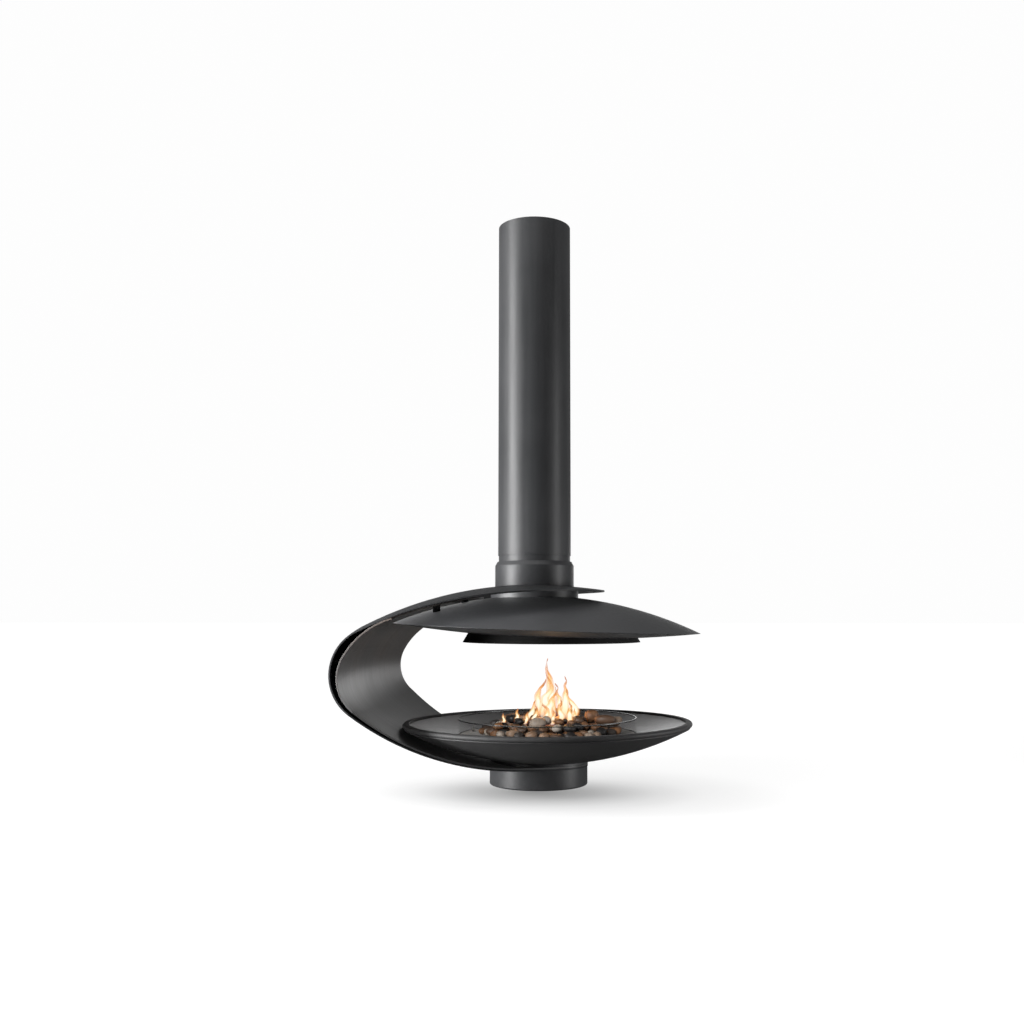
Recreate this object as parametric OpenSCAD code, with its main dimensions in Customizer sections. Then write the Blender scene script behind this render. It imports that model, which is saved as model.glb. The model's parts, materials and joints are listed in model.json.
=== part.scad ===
// Suspended gas fireplace: a hood and a fire dish held one over the other by a
// C-shaped pair of wide, crowned steel ribbons, all hung from one round flue.
// Frame: the origin is the centre of the ceiling mount, on top of the flue.
// +Z is up, so the whole object hangs below z = 0. +X is the open side of the C.

/* [Flue] */
// Outside diameter of the outer flue tube
flue_d = 250; // [240:2:270]
// Wall of the outer flue tube
flue_wall = 2; // [1:0.5:3]
// Length of the outer flue tube, from the ceiling to the swivel
flue_len = 1150; // [900:10:2000]
// Bore of the inner smoke liner
liner_bore = 196; // [190:1:202]
// Wall of the liner and of its socket
liner_wall = 2; // [1:0.5:3]
// Depth of the socket at the top of the liner
socket_depth = 50; // [30:5:80]
// Height of the ceiling mount ring
mount_h = 20; // [12:1:30]
// Pitch circle of the ceiling mount bolts
mount_pcd = 225; // [222:1:228]
// Hole diameter of the ceiling mount bolts
mount_hole_d = 10.5; // [6:0.5:12]
// Height of each fin that centres the liner
fin_h = 40; // [20:5:80]
// Thickness of each fin
fin_t = 3; // [2:0.5:6]

/* [Swivel] */
// Length of swivel sleeve that shows between tube and collar
sleeve_show = 21.5; // [10:0.5:40]
// Length of swivel sleeve inside the flue tube
sleeve_grip = 60; // [30:5:120]
// Wall of the swivel sleeve
sleeve_wall = 4; // [3:0.5:6]
// Outside diameter of the collar
collar_d = 270; // [268:1:280]
// Wall of the collar
collar_wall = 4; // [3:0.5:4.5]
// Height of the collar, from its top to the crown of the outer ribbon
collar_h = 79.5; // [74:0.5:110]
// Height of the bevel at the top of the collar
collar_bevel_h = 14; // [8:1:20]
// Width of the bevel at the top of the collar
collar_bevel_w = 8; // [4:1:9]
// Thickness of the collar's top ring
collar_top_t = 12; // [10:0.5:16]
// Diameter of the bearing balls
ball_d = 6; // [5:0.5:7]
// Number of bearing balls
ball_n = 30; // [18:1:44]
// Thickness of each bearing race
race_t = 4; // [3:0.5:6]
// Depth of the groove in each race
race_groove = 1; // [0.6:0.1:1.4]
// Thickness of the flange that carries the bearing
bearing_flange_t = 8; // [6:0.5:12]

/* [Ribbons] */
// Thickness of the ribbon plates
rib_t = 5; // [3:0.5:7]
// Half width of both ribbons
rib_w = 450; // [430:5:480]
// Crown radius of the ribbons, across their width
crown_r = 3000; // [2500:50:4500]
// Reach of the outer ribbon, from the flue axis to its far side
reach = 624.5; // [610:0.5:650]
// Height of the C, from the crown above to the lowest face below
c_height = 609; // [600:1:640]
// Height of the far side's centre above the lowest face
c_mid = 325; // [318:1:334]
// Radius of the outer ribbon's far side
side_r = 183.5; // [176:0.5:192]
// Turn of the far side above its centre
side_up = 63.7; // [61:0.1:65]
// Turn of the far side below its centre
side_down = 52.5; // [50:0.5:55]
// Reach of the outer ribbon's nose past the flue axis
nose_x = 240; // [210:5:280]
// Radius of the curve in which the outer ribbon's nose droops
nose_droop_r = 1750; // [1300:50:4000]
// Distance between the outer faces of the two ribbons on the far side
rib_gap = 23.2; // [20:0.2:30]
// How far the inner ribbon's side centre lies below the outer one's
inner_sink = 10; // [6:0.5:14]
// Radius of the inner ribbon's far side
inner_r = 162.5; // [154:0.5:168]
// Turn of the inner ribbon's far side above its centre
inner_up = 29; // [26:0.5:32]
// Radius of the inner ribbon's shoulder
shoulder_r = 288; // [270:2:310]
// Turn of the inner ribbon's shoulder
shoulder_turn = 45.5; // [44:0.5:47]
// Turn of the inner ribbon's far side below its centre
inner_down = 51; // [49:0.5:53]
// Place of the inner ribbon's nose along X
inner_nose_x = -180; // [-220:5:-165]
// Radius of the inner ribbon's nose
inner_nose_r = 520; // [500:10:600]
// Radius of the long curve in plan that tapers the outer ribbon to the base
taper_r = 5000; // [2000:100:8000]
// Radius of the long curve in plan that tapers the inner ribbon to the base
inner_taper_r = 2600; // [1500:100:8000]
// Radius of the round pad in which both ribbons end under the dish
pad_r = 167; // [166:0.5:176]
// Diameter of the spacers between the ribbons
spacer_d = 16; // [10:1:24]
// Radius of the bore for gas and air in the ribbons' pad
pad_bore_r = 60; // [40:2:80]

/* [Hood] */
// Outside diameter of the neck ring between ribbon and hood
neck_d = 300; // [290:2:320]
// Wall of the neck ring
neck_wall = 4; // [3:0.5:6]
// Drop from the crown of the ribbon to the top of the hood's dome
hood_drop = 35.3; // [35:0.1:44]
// Radius of the hood's dome
dome_r = 1290; // [1200:10:1400]
// Radius of the hood's rim
hood_rim_r = 522; // [480:2:560]
// Thickness of the hood shell
hood_t = 3; // [2:0.5:4]
// Tilt of the hood's rim, down towards the open side
hood_tilt = 2; // [0:0.1:3]
// Depth of the shallow pan that closes the hood below its rim
pan_depth = 34; // [24:1:44]
// Thickness of the pan
pan_t = 2.5; // [2:0.5:4]
// Radius of the smoke opening in the pan
mouth_r = 200; // [170:5:215]
// Outside diameter of the smoke tube that turns inside the liner
smoke_d = 184; // [176:1:188]
// Wall of the smoke tube
smoke_wall = 2; // [1:0.5:3]
// Wall of the smoke funnel
funnel_wall = 2; // [1:0.5:3]
// Centre of the smoke skirt along X
skirt_x = 58; // [30:2:70]
// Radius of the skirt at its lower edge
skirt_r = 303; // [290:1:320]
// Flare of the skirt, radius gained over its height of 100
skirt_flare = 60; // [40:2:80]
// Height of the skirt's lower edge below the rim's centre
skirt_drop = 47; // [42:1:70]
// Wall of the skirt
skirt_t = 2; // [1.5:0.5:4]

/* [Dish] */
// Centre of the dish's rim along X
dish_x = 43.5; // [30:0.5:46]
// Outside radius of the dish's rim
dish_rim_r = 489; // [470:1:520]
// Radius of the opening in the bottom of the bowl, round the base's axis
bowl_hole_r = 130; // [110:2:132]
// Radius of the bowl's underside
bowl_r = 1040; // [1000:10:1150]
// Depth of the bowl, from the rim's top to the bottom of its underside
bowl_depth = 137.5; // [130:0.5:150]
// Thickness of the bowl
bowl_t = 3; // [2:0.5:4]
// Tilt of the dish's rim, up towards the open side
dish_tilt = 0.4; // [0:0.1:2]
// Thickness of the rolled rim
rim_h = 15; // [12:1:20]
// Width of the rolled rim
rim_w = 21; // [16:1:30]
// Drop from the rim's top to the outer edge of the dish liner
liner_drop = 8; // [5:0.5:9]
// Thickness of the dish liner
dish_liner_t = 2.5; // [2:0.5:4]
// Depth of the tray's top below the rim's top
tray_depth = 43; // [38:1:50]
// Radius of the burner tray
tray_r = 296; // [280:2:306]
// Thickness of the burner tray
tray_t = 3; // [2:0.5:5]
// Thickness of the glass
glass_t = 5; // [4:0.5:8]
// Height of the glass ring above the tray
glass_show = 55.6; // [40:1:80]
// Depth of the channel that holds the glass
channel_depth = 8; // [6:0.5:14]
// Wall of the glass channel
channel_t = 2; // [1.5:0.5:3]

/* [Burner] */
// Radius of the plenum below the tray
plenum_r = 160; // [120:5:200]
// Height of the plenum
plenum_h = 20; // [14:1:24]
// Pitch circle of the gas ports in the tray
port_pcd = 250; // [160:5:290]
// Diameter of each gas port
port_d = 7; // [4:0.5:9]
// Number of gas ports
port_n = 24; // [12:1:36]
// Outside diameter of the gas riser
riser_d = 12; // [8:1:16]
// Thickness of the pebbles
pebble_t = 28; // [24:1:30]
// Distance between pebble centres
pebble_pitch = 55; // [52:1:60]
// Largest pebble's width
pebble_d = 53; // [48:1:54]
// Radius of the pebble bed
bed_r = 236; // [200:2:250]
// Offset of the pebble bed along X
bed_x = 7; // [0:1:14]

/* [Base] */
// Centre of the base along X
base_x = 14; // [4:1:24]
// Outside diameter of the base
base_d = 331; // [320:1:331]
// Wall of the base ring and the drum
base_wall = 4; // [3:0.5:5]
// Height of the drum, from the ribbon's underside to its floor
drum_h = 62; // [56:1:90]
// Radius of the rounded edge at the drum's foot
drum_round = 5; // [2:0.5:8]
// Height of the clamp ring under the ribbons
clamp_h = 14; // [10:1:18]
// Pitch circle of the base bolts
base_pcd = 294; // [286:2:300]
// Diameter of the base bolts
base_bolt_d = 8; // [6:1:10]
// Number of the base bolts
base_bolt_n = 8; // [4:1:12]
// Height of the base ring that shows between ribbon and dish
base_show = 13; // [10:0.2:20]
// Bore of the gas inlet
inlet_d = 9; // [6:0.5:12]
// Depth of the gas inlet's bore
inlet_depth = 33; // [20:1:33]
// Length of the inlet union below the valve block
union_h = 8; // [4:1:9]
// Length of the valve block
valve_l = 60; // [50:1:80]
// Width of the valve block
valve_w = 36; // [24:1:40]
// Height of the valve block
valve_h = 30; // [24:1:30]
// Size of the control box
control_size = [90, 60, 28]; // [20:1:120]

/* [Fit] */
// Gap between pieces that rest on each other
gap = 0.3; // [0.2:0.05:0.4]
// Clearance of a bolt in its hole, on the radius
bolt_gap = 0.5; // [0.3:0.1:0.8]

/* [Hidden] */
$fn = 96;
// Facets for circles of a metre and more
wide_fn = 720;
// Half the hairline between two rolled lengths of one ribbon, the depth at which its
// weld lies, and half the weld's width
seam = 0.05;
weld_depth = 0.25;
weld_reach = 1;

paint = [0.16, 0.16, 0.17];
steel = [0.62, 0.63, 0.65];
soot = [0.06, 0.06, 0.06];
brass = [0.72, 0.58, 0.3];
stone = [0.62, 0.56, 0.5];
ceramic = [0.93, 0.92, 0.88];

// Heads and nuts, as multiples of the bolt's radius
head_k = 1.85;
head_h_k = 1.25;

// Tubes of the flue, from outside to inside
flue_r = flue_d / 2;
sleeve_r = flue_r - flue_wall - gap;
liner_r = liner_bore / 2 + liner_wall;
socket_r = liner_r + gap + liner_wall;
smoke_r = smoke_d / 2;

// Heights, all from the ceiling mount down
sleeve_z = -flue_len;
collar_z = sleeve_z - sleeve_show;
crown_z = collar_z - collar_h;
low_z = crown_z - c_height;

// Bearing, from the collar's top ring down
collar_r = collar_d / 2;
race_side = 1.2;
cage_t = 1.6;
race_in = sleeve_r + race_side;
race_out = collar_r - collar_wall - race_side;
ball_pcr = (race_in + race_out) / 2;
upper_race_z = collar_z - collar_top_t - gap - race_t;
ball_z = upper_race_z - ball_d / 2 + race_groove - gap;
lower_race_z = ball_z - ball_d / 2 + race_groove - gap - race_t;
flange_z = lower_race_z - gap - bearing_flange_t;

// Unit vector at an angle in the X-Z plane
function along(a) = [cos(a), sin(a)];
// Rounds a length to a hundredth, so that arcs that meet share one plane
function tidy(v) = round(v * 100) / 100;
// Radius of an arc that leaves a smaller one at angle a and ends level at height z
function level_r(c, r, a, z) = tidy((abs(z - c[1]) - r * abs(sin(a))) / (1 - abs(sin(a))));
// Centre of that arc; it lies above z for a low arc (side = 1) and below it for a high one (-1)
function level_c(c, r, big, a, z, side) = [tidy(c[0] + (r - big) * cos(a)), z + side * big];
// Angle that a length s takes up on an arc of radius r
function turn(s, r) = s / r * 180 / PI;

// Outer ribbon: far side, top arc, nose arc and bottom arc
side_c = [-reach + side_r, low_z + c_mid];
top_a = 180 - side_up;
top_r = level_r(side_c, side_r, top_a, crown_z);
top_c = level_c(side_c, side_r, top_r, top_a, crown_z, -1);
droop_c = [top_c[0], crown_z - nose_droop_r];
low_a = 180 + side_down;
low_r = level_r(side_c, side_r, low_a, low_z);
low_c = level_c(side_c, side_r, low_r, low_a, low_z, 1);

// Dome of the hood: its sphere is centred on the flue axis
dome_c = crown_z - hood_drop - dome_r;
function dome_z(r) = dome_c + sqrt(dome_r * dome_r - r * r);

// Inner ribbon: far side, shoulder, top arc and bottom arc
inner_low_z = low_z + rib_t + gap;
inner_top_z = tidy(dome_z(abs(inner_nose_x)) + rib_t + 4);
iside_c = [-reach + rib_gap + inner_r, side_c[1] - inner_sink];
shoulder_a = 180 - inner_up;
shoulder_c = iside_c + (inner_r - shoulder_r) * along(shoulder_a);
itop_a = shoulder_a - shoulder_turn;
itop_r = level_r(shoulder_c, shoulder_r, itop_a, inner_top_z);
itop_c = level_c(shoulder_c, shoulder_r, itop_r, itop_a, inner_top_z, -1);
ilow_a = 180 + inner_down;
ilow_r = level_r(iside_c, inner_r, ilow_a, inner_low_z);
ilow_c = level_c(iside_c, inner_r, ilow_r, ilow_a, inner_low_z, 1);

// How far a ribbon's edge falls back behind its crown
sag = crown_r - sqrt(crown_r * crown_r - rib_w * rib_w);

// Place along X where a ribbon begins to taper, just past the end of its far side
function taper_start(c, r, a) = c[0] + (r - rib_t - sag) * cos(a) + 2;

// Hood below the dome: its rim plane is tilted about the dome's centre
rim_fall = sqrt(dome_r * dome_r - hood_rim_r * hood_rim_r);
hood_rim_z = dome_c + rim_fall * cos(hood_tilt);
pan_r = (hood_rim_r * hood_rim_r + pan_depth * pan_depth) / (2 * pan_depth);
skirt_z = hood_rim_z - skirt_drop;
neck_r = neck_d / 2;

// Base and dish, from the ribbons' lowest face up
base_r = base_d / 2;
pad_top = low_z + 2 * rib_t + gap;
bowl_rise = bowl_r - sqrt(bowl_r * bowl_r - base_r * base_r);
dish_z = pad_top + base_show - bowl_rise + bowl_depth;
clamp_z = low_z - gap - clamp_h;
drum_z = low_z - drum_h;
base_bolt_r = base_bolt_d / 2;
base_bolt_c = base_pcd / 2;

// Fire tray and what stands round it, in the dish's own frame
channel_ri = tray_r + gap;
glass_ri = channel_ri + channel_t + gap;
glass_ro = glass_ri + glass_t;
channel_ro = glass_ro + gap + channel_t;
channel_z = -tray_depth - channel_depth;
tray_z = -tray_depth - tray_t;
plenum_z = tray_z - gap - plenum_h;

// Bolts between collar, ribbon and neck ring
saddle_r = 121.5;
saddle_n = 8;
saddle_bolt_r = 4;
saddle_top = crown_z + 10;
neck_under = crown_z - 27;
// Bolts between neck ring and hood
hood_bolt_r = 3;
hood_bolt_c = 138;
hood_bolt_n = 6;
neck_flange_z = dome_z(hood_bolt_c) + gap + 6;
// Foot of the smoke funnel's neck
funnel_z = dome_z(0) - 40;
mouth_z = hood_rim_z - pan_depth - 3;

// Inside the dish and the base
seat_top = pad_top + base_show + 12;
hub_top = pad_top + 34;
clamp_r = base_r - base_wall - gap;
plate_t = 3;
plate_z = clamp_z - gap - plate_t;
plate_r = base_bolt_c - head_k * base_bolt_r - 2;
valve_top = plate_z - gap;
tap_r = 4;
tap_fit = 0.05;
tap_off = 12;
tap_drop = valve_h / 2;
tap_bar = [28, 8, 7];
inlet_off = -15;
inlet_hole_r = 12;
igniter_r = 4;
igniter_at = [-262, 60];
igniter_sunk = 26;

module tube(r, wall, z0, z1) {
  translate([0, 0, z0]) difference() {
    cylinder(r = r, h = z1 - z0);
    translate([0, 0, -1]) cylinder(r = r - wall, h = z1 - z0 + 2);
  }
}

module ring_of(n, r, turn = 0) {
  for (i = [0:n - 1]) rotate([0, 0, turn + 360 * i / n]) translate([r, 0, 0]) children();
}

// A bolt along Z: shank from z0 to z1 with a hex head below z0 and a hex nut above z1
module bolt(r, z0, z1, nut = true) {
  translate([0, 0, z0 - head_h_k * r]) cylinder(r = head_k * r, h = head_h_k * r, $fn = 6);
  translate([0, 0, z0 - head_h_k * r]) cylinder(r = r, h = z1 - z0 + 2 * head_h_k * r + r / 2);
  if (nut) translate([0, 0, z1]) cylinder(r = head_k * r, h = head_h_k * r, $fn = 6);
}

// Cross-section of a crowned sheet whose outer face lies at radius r, drawn in by inset
module crowned(r, inset = 0) {
  intersection() {
    translate([r - crown_r, 0]) difference() {
      circle(crown_r - inset, $fn = wide_fn);
      circle(crown_r - rib_t + inset, $fn = wide_fn);
    }
    translate([r - 140, inset - rib_w]) square([200, 2 * (rib_w - inset)]);
  }
}

// Cross-section of the space outside that sheet's inner face, with the gap
module outside(r) {
  difference() {
    translate([r - 60, -rib_w]) square([160, 2 * rib_w]);
    translate([r - crown_r, 0]) circle(crown_r - rib_t - gap, $fn = wide_fn);
  }
}

// Cross-section of the space inside that sheet's outer face, with the gap
module inside(r) {
  intersection() {
    translate([r - crown_r, 0]) circle(crown_r + gap, $fn = wide_fn);
    translate([r - 140, -rib_w]) square([200, 2 * rib_w]);
  }
}

// Sweeps a cross-section about the Y direction through c, from angle a0 to a1, 0 being +X
module sweep(c, a0, a1) {
  translate([c[0], 0, c[1]]) rotate([90, 0, 0]) rotate([0, 0, a0])
    rotate_extrude(angle = a1 - a0, $fn = wide_fn) children();
}

// One rolled length of a ribbon, between the seams at the angles low and high
module rolled(c, r, low, high) {
  sweep(c, low + turn(seam, r), high - turn(seam, r)) crowned(r);
}

// Weld that joins two rolled lengths across the seam at angle a
module weld(c, r, a) {
  sweep(c, a - turn(weld_reach, r), a + turn(weld_reach, r)) crowned(r, weld_depth);
}

// Draws a cross-section straight along X below the height z
module straight(x0, x1, z) {
  translate([x0, 0, z]) rotate([0, 90, 0]) linear_extrude(height = x1 - x0) children();
}

// Plan of a ribbon's lower end: full width up to x0, then a long curve into the round pad
module taper_plan(x0, r) {
  corner = [x0, -rib_w];
  pad = [base_x, 0];
  d = norm(pad - corner);
  u = (pad - corner) / d;
  k = (r * r - pow(r - pad_r, 2) + d * d) / (2 * d);
  c = corner + k * u + sqrt(r * r - k * k) * [-u[1], u[0]];
  touch = pad + pad_r * (pad - c) / norm(pad - c);
  intersection() {
    translate([c[0], c[1]]) circle(r, $fn = wide_fn);
    translate([c[0], -c[1]]) circle(r, $fn = wide_fn);
    translate([x0, -rib_w]) square([touch[0] - x0, 2 * rib_w]);
  }
  translate([x0 - 400, -rib_w - 1]) square([400, 2 * rib_w + 2]);
  translate(pad) circle(pad_r);
}

// Lower end of a ribbon: arc and flat pad, cut to the taper, with its bore and bolt holes
module ribbon_foot(c, r, a, x0, long_r) {
  difference() {
    intersection() {
      union() {
        sweep(c, 270, a + turn(seam, r)) crowned(r);
        straight(c[0], base_x + pad_r + 5, c[1]) crowned(r);
      }
      translate([0, 0, low_z - 40]) linear_extrude(height = 400) taper_plan(x0, long_r);
    }
    translate([base_x, 0, low_z - 50]) cylinder(r = pad_bore_r, h = 200);
    base_bolt_holes();
  }
}

// Upper end of the outer ribbon: top arc and drooping nose, with the flue hole and bolt holes
module ribbon_head() {
  difference() {
    intersection() {
      union() {
        sweep(top_c, 90, top_a - turn(seam, top_r)) crowned(top_r);
        sweep(droop_c, 90, 80) crowned(nose_droop_r);
      }
      nose_cut(nose_x, rib_w + 0.5, crown_z);
    }
    translate([0, 0, crown_z - 50]) cylinder(r = saddle_r - 9.5, h = 100);
    saddle_holes();
  }
}

module base_bolt_holes() {
  translate([base_x, 0, low_z - 60])
    ring_of(base_bolt_n, base_bolt_c, 22.5) cylinder(r = base_bolt_r + bolt_gap, h = 150);
}

module saddle_holes() {
  translate([0, 0, crown_z - 60])
    ring_of(saddle_n, saddle_r, 22.5) cylinder(r = saddle_bolt_r + bolt_gap, h = 120);
}

// Round top end of a ribbon in plan: keeps what lies behind the nose's circle
module nose_cut(x, r, z) {
  translate([0, 0, z - 300]) linear_extrude(height = 400) {
    translate([x - r, 0]) circle(r, $fn = wide_fn);
    translate([x - r - 500, -rib_w - 1]) square([500, 2 * rib_w + 2]);
  }
}

// All space under the outer ribbon's top face, and all space over its underside
module under_crown() {
  sweep(top_c, 90, top_a) inside(top_r);
  sweep(droop_c, 90, 78) inside(nose_droop_r);
}
module over_crown() {
  sweep(top_c, 90, top_a) outside(top_r);
  sweep(droop_c, 90, 78) outside(nose_droop_r);
}
// All space under the inner ribbon's lower end, and all space over the outer ribbon's
module under_pad() {
  sweep(ilow_c, 270, ilow_a) outside(ilow_r);
  straight(ilow_c[0], base_x + 200, ilow_c[1]) outside(ilow_r);
}
module over_pad() {
  sweep(low_c, 270, low_a) inside(low_r);
  straight(low_c[0], base_x + 200, low_c[1]) inside(low_r);
}

// Frames of the tilted hood and the tilted dish
module in_hood() {
  translate([0, 0, dome_c]) rotate([0, hood_tilt, 0]) children();
}
module in_dish() {
  translate([dish_x, 0, dish_z]) rotate([0, -dish_tilt, 0]) children();
}

// Ball that the pan's sphere of radius r belongs to, in the hood's frame
module pan_ball(r) {
  translate([0, 0, rim_fall - pan_depth + pan_r]) sphere(r, $fn = 360);
}
// Turned solid in the dish's frame: what lies inside the bowl's sphere of radius r
module bowl_fill(r, reach_r) {
  rotate_extrude($fn = 360) intersection() {
    translate([0, bowl_r - bowl_depth]) circle(r, $fn = 2 * wide_fn);
    translate([0, -bowl_depth - 20]) square([reach_r, bowl_depth]);
  }
}
// Turned solid in the dish's frame: what lies outside that sphere, below the bowl
module bowl_rest(r, reach_r) {
  rotate_extrude($fn = 360) difference() {
    translate([0, -bowl_depth - 30]) square([reach_r, bowl_depth + 20]);
    translate([0, bowl_r - bowl_depth]) circle(r, $fn = 2 * wide_fn);
  }
}

module flue_pipe() color(paint) tube(flue_r, flue_wall, -flue_len, 0);

module flue_liner() color(steel) union() {
  tube(liner_r, liner_wall, flange_z + 4, -socket_depth);
  tube(socket_r, liner_wall, -socket_depth, 0);
  tube(socket_r, socket_r - liner_r + liner_wall, -socket_depth - liner_wall, -socket_depth);
}

module liner_fins() color(steel)
  for (place = [0.2, 0.5, 0.8]) translate([0, 0, -flue_len * place])
    intersection() {
      tube(sleeve_r, sleeve_r - liner_r - gap, 0, fin_h);
      ring_of(3, 0) translate([0, -fin_t / 2, -1]) cube([flue_r, fin_t, fin_h + 2]);
    }

module mount_ring() color(steel) difference() {
  tube(sleeve_r, sleeve_r - socket_r - gap, -mount_h, 0);
  translate([0, 0, -mount_h - 1]) ring_of(6, mount_pcd / 2) cylinder(d = mount_hole_d, h = mount_h + 2);
}

module swivel_sleeve() color(paint) union() {
  tube(sleeve_r, sleeve_wall, flange_z, sleeve_z + sleeve_grip);
  tube(race_out, race_out - sleeve_r + 1, flange_z, flange_z + bearing_flange_t);
}

module collar() color(paint) difference() {
  rotate_extrude() polygon([
    [collar_r, crown_z - 30], [collar_r, collar_z - collar_bevel_h],
    [collar_r - collar_bevel_w, collar_z], [sleeve_r + 0.8, collar_z],
    [sleeve_r + 0.8, collar_z - collar_top_t], [collar_r - collar_wall, collar_z - collar_top_t],
    [collar_r - collar_wall, saddle_top], [saddle_r - 9, saddle_top], [saddle_r - 9, crown_z - 30]]);
  under_crown();
  saddle_holes();
}

module race(z, groove_z) difference() {
  tube(race_out, race_out - race_in, z, z + race_t);
  translate([0, 0, groove_z]) rotate_extrude() translate([ball_pcr, 0]) circle(ball_d / 2 + gap);
}
module upper_race() color(steel) race(upper_race_z, ball_z);
module lower_race() color(steel) race(lower_race_z, ball_z);

module bearing_balls() color(steel)
  translate([0, 0, ball_z]) ring_of(ball_n, ball_pcr) sphere(ball_d / 2);

module ball_cage() color(brass) difference() {
  tube(collar_r - collar_wall - gap, collar_r - collar_wall - sleeve_r - 2 * gap,
    ball_z - cage_t / 2, ball_z + cage_t / 2);
  translate([0, 0, ball_z - 3]) ring_of(ball_n, ball_pcr) cylinder(r = ball_d / 2 + gap, h = 6);
}

module smoke_seal() color(ceramic)
  translate([0, 0, ball_z]) rotate_extrude()
    translate([(smoke_r + liner_bore / 2) / 2, 0]) circle((liner_bore / 2 - smoke_r) / 2 - gap);

module outer_ribbon() color(paint) union() {
  rolled(side_c, side_r, top_a, low_a);
  weld(side_c, side_r, top_a);
  weld(side_c, side_r, low_a);
  ribbon_head();
  ribbon_foot(low_c, low_r, low_a, taper_start(side_c, side_r, low_a), taper_r);
}

module inner_ribbon() color(paint) union() {
  rolled(iside_c, inner_r, shoulder_a, ilow_a);
  rolled(shoulder_c, shoulder_r, itop_a, shoulder_a);
  intersection() {
    rolled(itop_c, itop_r, 90, itop_a);
    nose_cut(inner_nose_x, inner_nose_r, inner_top_z);
  }
  weld(iside_c, inner_r, shoulder_a);
  weld(iside_c, inner_r, ilow_a);
  weld(shoulder_c, shoulder_r, itop_a);
  ribbon_foot(ilow_c, ilow_r, ilow_a, taper_start(iside_c, inner_r, ilow_a), inner_taper_r);
}

// Rods across the space between the two ribbons, on the far side
module ribbon_spacers() color(paint) difference() {
  for (a = [165, 190, 215], y = [-380, -130, 130, 380])
    translate([side_c[0], y, side_c[1]]) rotate([0, -a, 0])
      translate([side_r - 110, 0, 0]) rotate([0, 90, 0]) cylinder(d = spacer_d, h = 110);
  sweep(side_c, top_a, low_a) outside(side_r);
  sweep(iside_c, shoulder_a, ilow_a) inside(inner_r);
}

// Short bosses that carry the hood's dome on the inner ribbon's nose
module nose_bosses() color(paint) difference() {
  for (at = [[-230, 80], [-300, 220]], side = [-1, 1])
    translate([at[0], side * at[1], crown_z - 110]) cylinder(r = 12, h = 110);
  in_hood() sphere(dome_r + gap, $fn = 360);
  sweep(itop_c, 89, itop_a) outside(itop_r);
}

module saddle_bolts() color(steel)
  ring_of(saddle_n, saddle_r, 22.5) mirror([0, 0, 1])
    bolt(saddle_bolt_r, -saddle_top - gap, -neck_under + gap);

module neck_ring() color(paint) difference() {
  union() {
    tube(neck_r, neck_wall, dome_z(neck_r) - 10, crown_z);
    tube(neck_r, neck_r - saddle_r + 9, neck_under, crown_z);
    tube(neck_r, neck_r - hood_bolt_c + 12, dome_z(neck_r) - 10, neck_flange_z);
  }
  over_crown();
  saddle_holes();
  translate([0, 0, dome_c]) sphere(dome_r + gap, $fn = 360);
  hood_bolt_holes();
}

module hood_bolt_holes() {
  translate([0, 0, neck_flange_z - 40])
    ring_of(hood_bolt_n, hood_bolt_c) cylinder(r = hood_bolt_r + bolt_gap, h = 50);
}

// Bolts from inside the hood up through the neck ring's lower flange
module hood_bolts() color(steel)
  ring_of(hood_bolt_n, hood_bolt_c)
    bolt(hood_bolt_r, dome_z(hood_bolt_c + 7) - hood_t - gap, neck_flange_z + gap);

module hood_shell() color(paint) difference() {
  in_hood() difference() {
    intersection() {
      sphere(dome_r, $fn = 360);
      translate([0, 0, rim_fall]) cylinder(r = hood_rim_r + 20, h = dome_r - rim_fall + 10);
    }
    sphere(dome_r - hood_t, $fn = 360);
  }
  translate([0, 0, dome_c + dome_r - 60]) cylinder(r = smoke_r + 9, h = 70);
  hood_bolt_holes();
}

module hood_pan() color(paint) difference() {
  in_hood() rotate_extrude($fn = 360) intersection() {
    translate([0, rim_fall - pan_depth + pan_r]) difference() {
      circle(pan_r, $fn = 4 * wide_fn);
      circle(pan_r - pan_t, $fn = 4 * wide_fn);
    }
    translate([0, rim_fall - pan_depth - 10]) square([hood_rim_r - 5, pan_depth + 10 - gap]);
  }
  translate([0, 0, hood_rim_z - 100]) cylinder(r = mouth_r, h = 150);
}

module smoke_tube() color(steel)
  tube(smoke_r, smoke_wall, funnel_z, collar_z + 30);

// Funnel whose mouth stands in the pan's opening
module smoke_funnel() color(steel) rotate_extrude() polygon([
  [smoke_r + gap, funnel_z + 30], [smoke_r + gap, funnel_z],
  [mouth_r - gap - funnel_wall, hood_rim_z - 5], [mouth_r - gap - funnel_wall, mouth_z],
  [mouth_r - gap, mouth_z], [mouth_r - gap, hood_rim_z - 5],
  [smoke_r + gap + funnel_wall, funnel_z], [smoke_r + gap + funnel_wall, funnel_z + 30]]);

// Level skirt under the pan, with a flange turned in at its lower edge
module smoke_skirt() color(soot) difference() {
  translate([skirt_x, 0, skirt_z]) rotate_extrude() polygon([
    [skirt_r, 0], [skirt_r - skirt_flare, 100],
    [skirt_r - skirt_flare - skirt_t, 100], [skirt_r - skirt_t - 0.02 * skirt_flare, skirt_t],
    [skirt_r - 14, skirt_t], [skirt_r - 14, 0]]);
  in_hood() pan_ball(pan_r + gap);
}

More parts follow.
